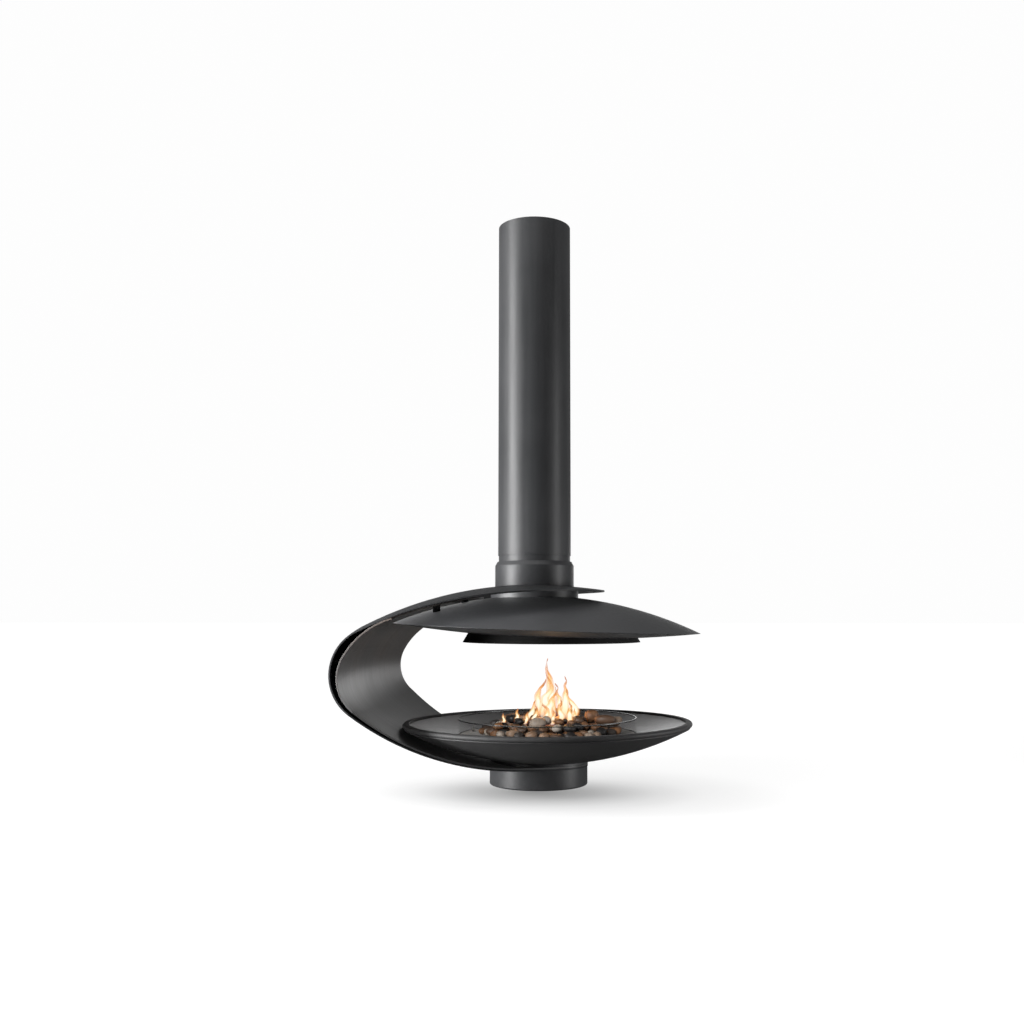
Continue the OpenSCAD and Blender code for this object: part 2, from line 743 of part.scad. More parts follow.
module dish_shell() color(paint) difference() {
  in_dish() rotate_extrude() union() {
  translate([dish_rim_r - rim_w, -rim_h]) square([rim_w - rim_h / 2, rim_h]);
  translate([dish_rim_r - rim_h / 2, -rim_h / 2]) circle(rim_h / 2);
  intersection() {
    translate([0, bowl_r - bowl_depth]) difference() {
      circle(bowl_r, $fn = wide_fn);
      circle(bowl_r - bowl_t, $fn = wide_fn);
    }
    translate([0, -bowl_depth - 1]) square([dish_rim_r - rim_h / 2, bowl_depth + 1 - rim_h / 2]);
  }
  }
  translate([base_x, 0, pad_top - 50]) cylinder(r = bowl_hole_r, h = 120);
  base_bolt_holes();
}

module dish_liner() color(paint) in_dish() rotate_extrude() polygon([
  [channel_ro + gap, -tray_depth], [dish_rim_r - rim_w - gap, -liner_drop],
  [dish_rim_r - rim_w - gap, -liner_drop - dish_liner_t],
  [channel_ro + gap, -tray_depth - dish_liner_t]]);

// Ring inside the bowl that spreads the clamp of the base bolts
module seat_ring() color(paint) difference() {
  translate([base_x, 0, 0]) tube(base_r - 2, base_r - 2 - bowl_hole_r - gap, seat_top - 40, seat_top);
  in_dish() bowl_rest(bowl_r - bowl_t - gap, base_r + 80);
  base_bolt_holes();
}

module tray_posts() color(paint) in_dish() difference() {
  ring_of(6, 0, 15) {
    translate([glass_ri, 0, -bowl_depth]) cylinder(r = 8, h = bowl_depth + channel_z - channel_t - gap);
    translate([glass_ri - 9, 0, -bowl_depth]) cylinder(r = 4, h = bowl_depth + tray_z - gap);
  }
  bowl_rest(bowl_r - bowl_t - gap, glass_ri + 30);
}

module glass_channel() color(paint) in_dish() rotate_extrude() polygon([
  [channel_ri, -tray_depth], [channel_ri, channel_z - channel_t],
  [channel_ro, channel_z - channel_t], [channel_ro, -tray_depth],
  [glass_ro + gap, -tray_depth], [glass_ro + gap, channel_z],
  [glass_ri - gap, channel_z], [glass_ri - gap, -tray_depth]]);

module glass_ring() color([0.8, 0.9, 0.9, 0.4]) in_dish()
  tube(glass_ro, glass_t, channel_z + gap, glass_show - tray_depth);

module burner_tray() color([0.6, 0.56, 0.5]) in_dish() difference() {
  translate([0, 0, tray_z]) cylinder(r = tray_r, h = tray_t);
  translate([0, 0, tray_z - 1]) ring_of(port_n, port_pcd / 2) cylinder(d = port_d, h = tray_t + 2);
  translate([igniter_at[0], igniter_at[1], tray_z - 1]) cylinder(r = igniter_r + gap, h = tray_t + 2);
}

// Gas box under the tray
module burner_plenum() color(steel) difference() {
  in_dish() difference() {
    translate([0, 0, plenum_z]) cylinder(r = plenum_r, h = plenum_h);
    translate([0, 0, plenum_z + 2]) cylinder(r = plenum_r - 2, h = plenum_h);
  }
  translate([base_x, 0, dish_z + plenum_z - 30]) cylinder(r = riser_d / 2 + gap, h = 60);
}

// Ceramic body with a collar that rests on the tray, and the spark pin in it
module igniter() color(ceramic)
  in_dish() translate([igniter_at[0], igniter_at[1], tray_z - igniter_sunk]) union() {
    cylinder(r = igniter_r, h = igniter_sunk + 14);
    translate([0, 0, igniter_sunk + tray_t + gap]) cylinder(r = igniter_r + 4, h = 3);
    cylinder(r = 1.2, h = igniter_sunk + 24);
  }

// Rounded flat stone, thickness pebble_t, with a flat of radius x
module pebble(x) {
  r = pebble_t / 2;
  rotate_extrude() polygon([[0, r], for (a = [90:-22.5:-90]) [x + r * cos(a), r * sin(a)], [0, -r]]);
}

// Three layers of stones in staggered rows, each layer over the hollows of the last
module pebbles() color(stone) in_dish()
  for (layer = [0:2]) translate([bed_x, 0, gap - tray_depth + pebble_t / 2 + layer * (pebble_t + gap)])
    for (row = [-4:4]) union() for (col = [-5:5]) {
      at = [(col + (row % 2 == 0 ? 0 : 0.5) + layer / 2) * pebble_pitch,
            (row * sqrt(3) / 2 + layer / sqrt(12)) * pebble_pitch];
      size = pebble_d - 2.5 * ((7 + row * 2 + col * 3 + 40 + layer) % 4) / 2;
      if (norm(at) + pebble_d / 2 < bed_r * (1 - 0.2 * layer))
        translate([at[0], at[1], 0]) pebble((size - pebble_t) / 2);
    }

module gas_riser() color(brass)
  translate([base_x, 0, 0]) tube(riser_d / 2, 1.5, valve_top + gap, dish_z + plenum_z + 6);

// Foot of the dish: a wedge-shaped flange between ribbons and bowl, and a hub in the bowl's hole
module base_hub() color(paint) difference() {
  translate([base_x, 0, 0]) tube(base_r, base_r - pad_bore_r - 2, low_z, pad_top + 60);
  under_pad();
  difference() {
    in_dish() bowl_fill(bowl_r + gap, base_r + 80);
    translate([base_x, 0, pad_top - 50]) cylinder(r = bowl_hole_r - gap, h = 120);
  }
  translate([base_x, 0, hub_top]) cylinder(r = base_r + 10, h = 100);
  base_bolt_holes();
}

module base_bolts() color(steel) translate([base_x, 0, 0])
  ring_of(base_bolt_n, base_bolt_c, 22.5) bolt(base_bolt_r, clamp_z - gap, seat_top + gap);

module clamp_ring() color(paint) difference() {
  translate([base_x, 0, 0]) tube(clamp_r, clamp_r - pad_bore_r - 58, clamp_z, low_z + 40);
  over_pad();
  base_bolt_holes();
}

module service_plate() color(steel) translate([base_x, 0, plate_z]) difference() {
  cylinder(r = plate_r, h = plate_t);
  translate([0, 0, -1]) cylinder(r = riser_d / 2 + 0.6, h = plate_t + 2);
  translate([-40, 0, -1]) cylinder(r = 12, h = plate_t + 2);
}

module gas_valve() color(brass) translate([base_x, 0, valve_top]) difference() {
  union() {
    translate([-valve_l / 2, -valve_w / 2, -valve_h]) cube([valve_l, valve_w, valve_h]);
    translate([inlet_off, 0, -valve_h - union_h]) cylinder(r = inlet_d / 2 + 4, h = union_h + 1);
  }
  translate([inlet_off, 0, -valve_h - union_h - 1]) cylinder(d = inlet_d, h = inlet_depth + 1);
  translate([tap_off, 0, -tap_drop]) rotate([90, 0, 0]) cylinder(r = tap_r + tap_fit, h = valve_w);
}

// Tap: a spindle in the valve block's bore, with a bar to turn it by
module valve_tap() color(steel) translate([base_x + tap_off, 0, valve_top - tap_drop]) union() {
  rotate([90, 0, 0]) cylinder(r = tap_r, h = valve_w / 2 + 4);
  translate([-tap_bar[0] / 2, -valve_w / 2 - 3 - tap_bar[1], -tap_bar[2] / 2]) cube(tap_bar);
}

module control_box() color([0.1, 0.1, 0.1])
  translate([base_x - control_size[0] / 2, valve_w / 2 + 6, valve_top - control_size[2]])
    cube(control_size);

// Cup that hides the service space; its wall runs up to the ribbon
module base_drum() color(paint) difference() {
  translate([base_x, 0, 0]) rotate_extrude() difference() {
    union() {
      translate([0, drum_z + drum_round]) square([base_r, drum_h + 40]);
      translate([0, drum_z]) square([base_r - drum_round, drum_round + 1]);
      translate([base_r - drum_round, drum_z + drum_round]) circle(drum_round);
    }
    translate([-1, drum_z + base_wall]) square([base_r - base_wall + 1, drum_h + 60]);
    translate([-50, drum_z - 1]) square([50, drum_h + 60]);
  }
  translate([base_x + inlet_off, 0, drum_z - 1]) cylinder(r = inlet_hole_r, h = base_wall + 2);
  over_pad();
}

flue_pipe();
flue_liner();
liner_fins();
mount_ring();
swivel_sleeve();
collar();
upper_race();
lower_race();
bearing_balls();
ball_cage();
smoke_seal();
outer_ribbon();
inner_ribbon();
ribbon_spacers();
nose_bosses();
saddle_bolts();
neck_ring();
hood_shell();
hood_pan();
hood_bolts();
smoke_tube();
smoke_funnel();
smoke_skirt();
dish_shell();
dish_liner();
seat_ring();
tray_posts();
glass_channel();
glass_ring();
burner_tray();
burner_plenum();
igniter();
pebbles();
gas_riser();
base_hub();
base_bolts();
clamp_ring();
service_plate();
gas_valve();
valve_tap();
control_box();
base_drum();
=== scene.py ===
"""Looks of the hanging gas fireplace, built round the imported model."""
import json
import math
import random

import bpy
from mathutils import Matrix, Vector, noise

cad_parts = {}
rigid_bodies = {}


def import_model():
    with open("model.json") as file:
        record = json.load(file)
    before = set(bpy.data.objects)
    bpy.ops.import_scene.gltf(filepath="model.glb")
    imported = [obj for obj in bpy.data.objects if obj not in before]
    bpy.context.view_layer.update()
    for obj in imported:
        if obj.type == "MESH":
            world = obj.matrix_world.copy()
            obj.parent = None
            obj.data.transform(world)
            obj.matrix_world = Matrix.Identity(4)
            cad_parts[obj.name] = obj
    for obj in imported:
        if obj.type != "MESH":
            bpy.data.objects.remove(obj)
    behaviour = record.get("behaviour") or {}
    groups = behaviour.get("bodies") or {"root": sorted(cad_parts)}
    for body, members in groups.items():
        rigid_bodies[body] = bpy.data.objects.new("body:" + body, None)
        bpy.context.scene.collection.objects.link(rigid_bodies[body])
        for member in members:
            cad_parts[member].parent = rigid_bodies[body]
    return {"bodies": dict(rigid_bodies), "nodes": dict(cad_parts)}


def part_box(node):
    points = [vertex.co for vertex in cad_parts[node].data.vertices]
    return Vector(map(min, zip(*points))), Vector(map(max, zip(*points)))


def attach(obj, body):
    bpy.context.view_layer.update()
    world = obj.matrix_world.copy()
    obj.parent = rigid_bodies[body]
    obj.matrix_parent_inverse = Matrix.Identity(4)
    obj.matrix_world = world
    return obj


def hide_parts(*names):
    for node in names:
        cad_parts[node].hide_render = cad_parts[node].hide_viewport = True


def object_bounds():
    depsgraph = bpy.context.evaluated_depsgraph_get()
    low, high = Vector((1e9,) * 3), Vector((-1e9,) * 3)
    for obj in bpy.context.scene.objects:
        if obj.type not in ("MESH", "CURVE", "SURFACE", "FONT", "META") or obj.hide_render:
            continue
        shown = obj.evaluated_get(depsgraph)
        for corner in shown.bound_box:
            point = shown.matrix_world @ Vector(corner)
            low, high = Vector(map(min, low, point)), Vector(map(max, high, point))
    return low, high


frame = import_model()
cad_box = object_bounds()
NODES = frame["nodes"]

# Values shared by several sections, in metres and degrees
DISH_TILT = 0.4           # the dish and its glass lean towards -X
GLASS_BAND = 0.0035       # polished band along the glass's top edge
FLOOR_GAP = 0.03          # air between the base cover and the floor


# ---------------------------------------------------------------- camera

LENS_MM, SENSOR_MM = 37.27, 36.0
PICTURE_PX, SHIFT_PX = 1024, (-22.5, 25.5)
EYE_DISTANCE, EYE_HEIGHT = 3.6453, -1.3465
AZIMUTH, PITCH = math.radians(5.13), math.radians(4.078)


def make_camera():
    data = bpy.data.cameras.new("camera")
    data.sensor_width = SENSOR_MM
    data.lens = LENS_MM
    data.shift_x, data.shift_y = (px / PICTURE_PX for px in SHIFT_PX)
    cam = bpy.data.objects.new("camera", data)
    bpy.context.scene.collection.objects.link(cam)
    sa, ca = math.sin(AZIMUTH), math.cos(AZIMUTH)
    sp, cp = math.sin(PITCH), math.cos(PITCH)
    ahead = Vector((-sa * cp, ca * cp, sp))
    right = Vector((ca, sa, 0))
    up = right.cross(ahead)
    turn = Matrix((right, up, -ahead)).transposed().to_4x4()
    at = Vector((EYE_DISTANCE * sa, -EYE_DISTANCE * ca, EYE_HEIGHT))
    cam.matrix_world = Matrix.Translation(at) @ turn
    bpy.context.scene.camera = cam


# ---------------------------------------------------------------- node helpers

class Graph:
    """A short way to write a material's nodes."""

    def __init__(self, tree):
        self.tree = tree
        tree.nodes.clear()

    def add(self, kind, **values):
        node = self.tree.nodes.new(kind)
        for key, value in values.items():
            setattr(node, key, value)
        return node

    def link(self, a, b):
        self.tree.links.new(a, b)

    def coords(self, scale=(1, 1, 1)):
        place = self.add("ShaderNodeTexCoord")
        mapping = self.add("ShaderNodeMapping")
        mapping.inputs["Scale"].default_value = scale
        self.link(place.outputs["Object"], mapping.inputs["Vector"])
        return mapping.outputs["Vector"]

    def noise(self, vector, scale, detail=4, rough=0.55):
        n = self.add("ShaderNodeTexNoise")
        n.inputs["Scale"].default_value = scale
        n.inputs["Detail"].default_value = detail
        n.inputs["Roughness"].default_value = rough
        self.link(vector, n.inputs["Vector"])
        return n.outputs["Fac"]

    def ramp(self, fac, stops, ease="LINEAR"):
        r = self.add("ShaderNodeValToRGB")
        r.color_ramp.interpolation = ease
        while len(r.color_ramp.elements) < len(stops):
            r.color_ramp.elements.new(0.5)
        for e, (at, colour) in zip(r.color_ramp.elements, stops):
            e.position = at
            e.color = (*colour, 1) if len(colour) == 3 else colour
        self.link(fac, r.inputs["Fac"])
        return r.outputs["Color"]

    def spread(self, fac, low, high, src=(0.3, 0.7)):
        m = self.add("ShaderNodeMapRange")
        m.inputs["From Min"].default_value, m.inputs["From Max"].default_value = src
        m.inputs["To Min"].default_value, m.inputs["To Max"].default_value = low, high
        self.link(fac, m.inputs["Value"])
        return m.outputs["Result"]

    def mix(self, fac, a, b, mode="MIX"):
        m = self.add("ShaderNodeMix", data_type="RGBA", blend_type=mode)
        for name, value in (("Factor", fac), ("A", a), ("B", b)):
            socket = next(s for s in m.inputs if s.name == name and
                          s.type == ("VALUE" if name == "Factor" else "RGBA"))
            if isinstance(value, (int, float)):
                socket.default_value = value
            elif isinstance(value, tuple):
                socket.default_value = (*value, 1)
            else:
                self.link(value, socket)
        return next(s for s in m.outputs if s.type == "RGBA")

    def axes(self):
        split = self.add("ShaderNodeSeparateXYZ")
        self.link(self.coords(), split.inputs["Vector"])
        return split.outputs

    def bump(self, fac, strength, distance, round_edges=0.0):
        b = self.add("ShaderNodeBump")
        b.inputs["Strength"].default_value = strength
        b.inputs["Distance"].default_value = distance
        self.link(fac, b.inputs["Height"])
        if round_edges:
            edge = self.add("ShaderNodeBevel", samples=6)
            edge.inputs["Radius"].default_value = round_edges
            self.link(edge.outputs["Normal"], b.inputs["Normal"])
        return b.outputs["Normal"]

    def surface(self, shader):
        out = self.add("ShaderNodeOutputMaterial")
        self.link(shader, out.inputs["Surface"])


def new_material(name):
    m = bpy.data.materials.new(name)
    m.use_nodes = True
    return m, Graph(m.node_tree)


def principled(g, colour, rough, normal=None, **constants):
    p = g.add("ShaderNodeBsdfPrincipled")
    for socket, value in (("Base Color", colour), ("Roughness", rough)):
        if isinstance(value, (int, float)):
            p.inputs[socket].default_value = value
        elif isinstance(value, tuple):
            p.inputs[socket].default_value = (*value, 1)
        else:
            g.link(value, p.inputs[socket])
    if normal is not None:
        g.link(normal, p.inputs["Normal"])
    for key, value in constants.items():
        p.inputs[key.replace("_", " ")].default_value = value
    return p.outputs["BSDF"]


# ---------------------------------------------------------------- materials

PAINT_EDGE = 0.0012


def satin_paint(name, dark, light, rough=(0.36, 0.5), grain=(1, 1, 1), tint=None, tint_z=None, gloss=0.5):
    """Stove paint: soft cloudy tone, fine grain drawn out by the roller, orange-peel bump."""
    m, g = new_material(name)
    cloud = g.noise(g.coords(), 3.0, 3)
    fine = g.noise(g.coords(grain), 60, 3, 0.6)
    tone = g.mix(0.35, cloud, fine)
    colour = g.ramp(tone, [(0.3, dark), (0.7, light)])
    if tint:
        fade = g.spread(g.axes()["Z"], 0, 1, tint_z)
        patch = g.spread(g.noise(g.coords(), 5.0, 4), 0.35, 1.0)
        times = g.add("ShaderNodeMath", operation="MULTIPLY", use_clamp=True)
        g.link(fade, times.inputs[0])
        g.link(patch, times.inputs[1])
        colour = g.mix(times.outputs[0], colour, tint)
    roughness = g.spread(g.mix(0.5, cloud, fine), *rough)
    peel = g.noise(g.coords(), 900, 2)
    normal = g.bump(peel, 0.12, 0.0004, PAINT_EDGE)
    g.surface(principled(g, colour, roughness, normal, Specular_IOR_Level=gloss))
    return m


def bare_metal(name, dark, light, rough=(0.3, 0.45)):
    """Steel or brass, with fine lines from turning and drawing."""
    m, g = new_material(name)
    fine = g.noise(g.coords((1, 1, 30)), 40, 4, 0.6)
    cloud = g.noise(g.coords(), 6, 3)
    colour = g.ramp(g.mix(0.5, fine, cloud), [(0.3, dark), (0.7, light)])
    normal = g.bump(fine, 0.08, 0.0003, 0.0005)
    g.surface(principled(g, colour, g.spread(fine, *rough), normal, Metallic=1.0))
    return m


def matt(name, dark, light, rough=(0.6, 0.85), scale=30, bump=0.3):
    """Dull or moulded stuff: mottled tone and a grain six times as fine."""
    m, g = new_material(name)
    fine = g.noise(g.coords(), scale, 6, 0.65)
    colour = g.ramp(fine, [(0.32, dark), (0.68, light)])
    normal = g.bump(g.noise(g.coords(), scale * 6, 3), bump, 0.0006)
    g.surface(principled(g, colour, g.spread(fine, *rough), normal))
    return m


def clear_glass():
    """Thin tempered glass: almost unseen walls, a dark polished band along the top edge."""
    m, g = new_material("fire_glass")
    low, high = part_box("glass_ring")
    lean = math.sin(math.radians(DISH_TILT))
    band_z = high.z - (high.x - low.x) / 2 * lean - GLASS_BAND
    film = g.noise(g.coords((1, 1, 4)), 12, 3)
    wall = principled(g, (0.02, 0.026, 0.025), g.spread(film, 0.0, 0.03), Alpha=0.05, IOR=1.45)
    edge = principled(g, g.ramp(film, [(0.3, (0.03, 0.034, 0.034)), (0.7, (0.05, 0.055, 0.055))]), 0.25,
                      Alpha=0.9)
    place = g.axes()
    level = g.add("ShaderNodeMath", operation="MULTIPLY_ADD")
    g.link(place["X"], level.inputs[0])
    level.inputs[1].default_value = -lean
    g.link(place["Z"], level.inputs[2])
    top = g.add("ShaderNodeMath", operation="GREATER_THAN")
    g.link(level.outputs[0], top.inputs[0])
    top.inputs[1].default_value = band_z
    solid = g.add("ShaderNodeMixShader")
    g.link(top.outputs[0], solid.inputs[0])
    g.link(wall, solid.inputs[1])
    g.link(edge, solid.inputs[2])
    ray = g.add("ShaderNodeLightPath")
    clear = g.add("ShaderNodeBsdfTransparent")
    out = g.add("ShaderNodeMixShader")
    g.link(ray.outputs["Is Shadow Ray"], out.inputs[0])
    g.link(solid.outputs[0], out.inputs[1])
    g.link(clear.outputs[0], out.inputs[2])
    g.surface(out.outputs[0])
    return m


def stone_material():
    """River stones: each stone's own tone from its attribute, with veins, specks and grit."""
    m, g = new_material("fire_stone")
    own = g.add("ShaderNodeAttribute", attribute_name="tone")
    base = g.ramp(own.outputs["Fac"], [
        (0.0, (0.018, 0.016, 0.016)), (0.22, (0.05, 0.042, 0.038)), (0.4, (0.14, 0.07, 0.034)),
        (0.56, (0.26, 0.125, 0.055)), (0.7, (0.29, 0.19, 0.125)), (0.85, (0.36, 0.31, 0.26)),
        (1.0, (0.5, 0.46, 0.41))])
    blotch = g.noise(g.coords(), 45, 5, 0.6)
    grit = g.noise(g.coords(), 420, 4, 0.7)
    shade = g.mix(0.6, base, g.ramp(blotch, [(0.3, (0.35, 0.33, 0.32)), (0.7, (1.0, 0.97, 0.93))]),
                  "MULTIPLY")
    speck = g.ramp(grit, [(0.28, (0.45, 0.43, 0.4)), (0.5, (1, 1, 1)), (0.75, (1.25, 1.2, 1.15))])
    colour = g.mix(0.7, shade, speck, "MULTIPLY")
    normal = g.bump(g.mix(0.5, blotch, grit), 0.35, 0.0015)
    g.surface(principled(g, colour, g.spread(blotch, 0.42, 0.7), normal))
    return m


WISP_SHIFT = 0.16


def flame_material(name, stops, alphas, strength=1.0):
    """Hot gas: glow and density follow the height inside each tongue of flame."""
    m, g = new_material(name)
    up = g.add("ShaderNodeAttribute", attribute_name="rise")
    wisp = g.noise(g.coords((1, 1, 0.35)), 55, 3)
    shift = g.add("ShaderNodeMath", operation="MULTIPLY_ADD")
    g.link(wisp, shift.inputs[0])
    shift.inputs[1].default_value = WISP_SHIFT
    g.link(up.outputs["Fac"], shift.inputs[2])
    glow = g.add("ShaderNodeEmission")
    g.link(g.ramp(shift.outputs[0], stops, "EASE"), glow.inputs["Color"])
    glow.inputs["Strength"].default_value = strength
    clear = g.add("ShaderNodeBsdfTransparent")
    both = g.add("ShaderNodeMixShader")
    g.link(g.ramp(shift.outputs[0], [(at, (a, a, a)) for at, a in alphas], "EASE"), both.inputs[0])
    g.link(clear.outputs[0], both.inputs[1])
    g.link(glow.outputs[0], both.inputs[2])
    g.surface(both.outputs[0])
    return m


# Grain is drawn out along the axis with the small factor
PIPE_GRAIN, PLATE_GRAIN, BEND_GRAIN = (1, 1, 0.03), (1, 0.03, 1), (0.05, 1, 0.05)
charcoal = satin_paint("charcoal_paint", (0.032, 0.033, 0.035), (0.056, 0.057, 0.06))
tube_paint = satin_paint("tube_paint", (0.034, 0.035, 0.037), (0.058, 0.059, 0.062), grain=PIPE_GRAIN)
ribbon_paint = satin_paint("ribbon_paint", (0.02, 0.0205, 0.022), (0.036, 0.037, 0.039),
                           grain=PLATE_GRAIN, rough=(0.42, 0.55), gloss=0.22)
inner_paint = satin_paint("inner_paint", (0.05, 0.05, 0.051), (0.086, 0.084, 0.084),
                          grain=BEND_GRAIN, rough=(0.32, 0.46),
                          tint=(0.11, 0.082, 0.066), tint_z=(-1.64, -1.36))
dish_paint = satin_paint("dish_paint", (0.036, 0.036, 0.037), (0.064, 0.063, 0.063), rough=(0.38, 0.52))
bowl_paint = satin_paint("bowl_paint", (0.036, 0.036, 0.037), (0.06, 0.059, 0.059), rough=(0.5, 0.62),
                         gloss=0.25)
# Near-black paint for the smoke skirt under the hood
skirt_black = satin_paint("soot_paint", (0.006, 0.006, 0.006), (0.012, 0.012, 0.012), rough=(0.55, 0.7))
taupe = matt("tray_taupe", (0.3, 0.285, 0.27), (0.44, 0.42, 0.4), scale=26, bump=0.15)
steel = bare_metal("zinc_steel", (0.38, 0.39, 0.4), (0.56, 0.57, 0.58))
liner = bare_metal("liner_steel", (0.3, 0.29, 0.28), (0.5, 0.5, 0.5), rough=(0.35, 0.5))
bearing = bare_metal("bearing_steel", (0.5, 0.5, 0.51), (0.62, 0.62, 0.63), rough=(0.12, 0.22))
brass = bare_metal("gas_brass", (0.5, 0.36, 0.15), (0.72, 0.55, 0.26), rough=(0.25, 0.4))
rope = matt("seal_rope", (0.55, 0.53, 0.48), (0.78, 0.76, 0.7), scale=120, bump=0.6)
porcelain = matt("igniter_ceramic", (0.72, 0.7, 0.66), (0.85, 0.84, 0.8), rough=(0.25, 0.4), bump=0.05)
plastic = matt("box_plastic", (0.015, 0.015, 0.016), (0.03, 0.03, 0.031), rough=(0.45, 0.6), bump=0.2)
glass = clear_glass()
stones_material = stone_material()

DRESS = {
    charcoal: ["swivel_sleeve", "collar", "ribbon_spacers", "neck_ring", "hood_shell", "hood_pan",
               "seat_ring", "glass_channel", "base_hub", "clamp_ring", "base_drum"],
    tube_paint: ["flue_pipe"], ribbon_paint: ["outer_ribbon", "nose_bosses"], inner_paint: ["inner_ribbon"],
    dish_paint: ["dish_liner"], bowl_paint: ["dish_shell"], skirt_black: ["smoke_skirt"], taupe: ["burner_tray"],
    steel: ["mount_ring", "saddle_bolts", "hood_bolts", "tray_posts", "burner_plenum", "base_bolts",
            "service_plate", "valve_tap"],
    liner: ["flue_liner", "liner_fins", "smoke_tube", "smoke_funnel"],
    bearing: ["upper_race", "lower_race", "bearing_balls"],
    brass: ["gas_riser", "gas_valve", "ball_cage"], rope: ["smoke_seal"],
    porcelain: ["igniter"], plastic: ["control_box"], glass: ["glass_ring"],
    stones_material: ["pebbles"],
}
SHARP_FROM = math.radians(30)


def dress_nodes():
    for material, names in DRESS.items():
        for name in names:
            mesh = NODES[name].data
            mesh.materials.clear()
            mesh.materials.append(material)
            mesh.shade_smooth()
            mesh.set_sharp_from_angle(angle=SHARP_FROM)


# ---------------------------------------------------------------- pieces

def mesh_piece(name, verts, faces, materials, body, attributes, face_slots=None):
    """A built piece that rides on a body; attributes hold one number per point."""
    mesh = bpy.data.meshes.new(name)
    mesh.from_pydata(verts, [], faces)
    for m in materials:
        mesh.materials.append(m)
    if face_slots:
        mesh.polygons.foreach_set("material_index", face_slots)
    for key, values in attributes.items():
        mesh.attributes.new(key, "FLOAT", "POINT").data.foreach_set("value", values)
    mesh.update()
    mesh.shade_smooth()
    piece = bpy.data.objects.new(name, mesh)
    bpy.context.scene.collection.objects.link(piece)
    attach(piece, body)
    return piece


TRAY_LOW, TRAY_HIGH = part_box("burner_tray")
TRAY_TOP = 0.0015         # top face above the tray's middle
TILT = Matrix.Rotation(math.radians(-DISH_TILT), 4, "Y")
DISH = Matrix.Translation((TRAY_LOW + TRAY_HIGH) / 2) @ TILT @ Matrix.Translation((0, 0, TRAY_TOP))
BED_X = 0.007             # the bed of stones lies this far right of the tray's middle


def ball_mesh(rings=11, sides=16):
    """Points and faces of a unit ball, before it is pressed into a stone."""
    verts = [(0, 0, 1)]
    for i in range(1, rings):
        a = math.pi * i / rings
        verts += [(math.sin(a) * math.cos(2 * math.pi * j / sides),
                   math.sin(a) * math.sin(2 * math.pi * j / sides), math.cos(a)) for j in range(sides)]
    verts.append((0, 0, -1))
    faces = [(0, 1 + j, 1 + (j + 1) % sides) for j in range(sides)]
    for i in range(rings - 2):
        a = 1 + i * sides
        faces += [(a + j, a + sides + j, a + sides + (j + 1) % sides, a + (j + 1) % sides)
                  for j in range(sides)]
    last = len(verts) - 1
    faces += [(last, last - sides + (j + 1) % sides, last - sides + j) for j in range(sides)]
    return verts, faces


BALL = ball_mesh()


def stone(rng, centre, half, tone):
    """One river stone: a squashed ball, pushed in and out by smooth noise."""
    seed = Vector((rng.uniform(-50, 50), rng.uniform(-50, 50), rng.uniform(-50, 50)))
    power = rng.uniform(0.78, 0.98)
    lean = Matrix.Rotation(rng.uniform(0, math.tau), 4, "Z") \
        @ Matrix.Rotation(rng.uniform(-0.3, 0.3), 4, "X")
    verts = []
    for x, y, z in BALL[0]:
        p = Vector((math.copysign(abs(x) ** power, x), math.copysign(abs(y) ** power, y), z))
        p *= 1 + 0.16 * noise.noise(p * 0.9 + seed) + 0.05 * noise.noise(p * 2.4 + seed)
        p = Vector((p.x * half[0], p.y * half[1], p.z * half[2]))
        verts.append(DISH @ (centre + lean @ p))
    return verts, BALL[1], [tone] * len(verts)


STONE_PITCH = 0.0405
BED_LAYERS, LAYER_RISE = 3, 0.0195
BED_REACH, REACH_STEP = 0.232, 0.042
ROW_RISE, LAYER_SLIP = 0.866, 0.289       # of a triangular pattern, in pitches
TOP_LAYER_GAPS = 0.35
BED_TONES = [0.0, 0.08, 0.15, 0.22, 0.3, 0.4, 0.45, 0.5, 0.55, 0.6, 0.7, 0.78, 0.9]


def bed_spots():
    """Stone centres in staggered rows, drawn in towards the middle from layer to layer."""
    for layer in range(BED_LAYERS):
        reach = BED_REACH - REACH_STEP * layer
        for row in range(-8, 9):
            for col in range(-9, 10):
                x = (col + (row % 2) / 2 + layer / 2) * STONE_PITCH
                y = (row * ROW_RISE + layer * LAYER_SLIP) * STONE_PITCH
                if math.hypot(x, y) < reach:
                    yield layer, x, y


# Big stones on top: x, y, height above the tray, half sizes, tone
TOP_STONES = [
    (0.150, -0.010, 0.062, (0.026, 0.022, 0.020), 0.46), (0.196, -0.060, 0.052, (0.037, 0.026, 0.019), 0.34),
    (0.232, -0.030, 0.046, (0.024, 0.020, 0.016), 0.74), (-0.020, -0.150, 0.050, (0.030, 0.024, 0.020), 0.82),
    (-0.110, -0.020, 0.052, (0.022, 0.018, 0.015), 0.28), (-0.036, -0.040, 0.054, (0.026, 0.020, 0.016), 0.2)]


def tone_group(tone):
    return "dark" if tone < 0.3 else "brown" if tone < 0.65 else "pale"


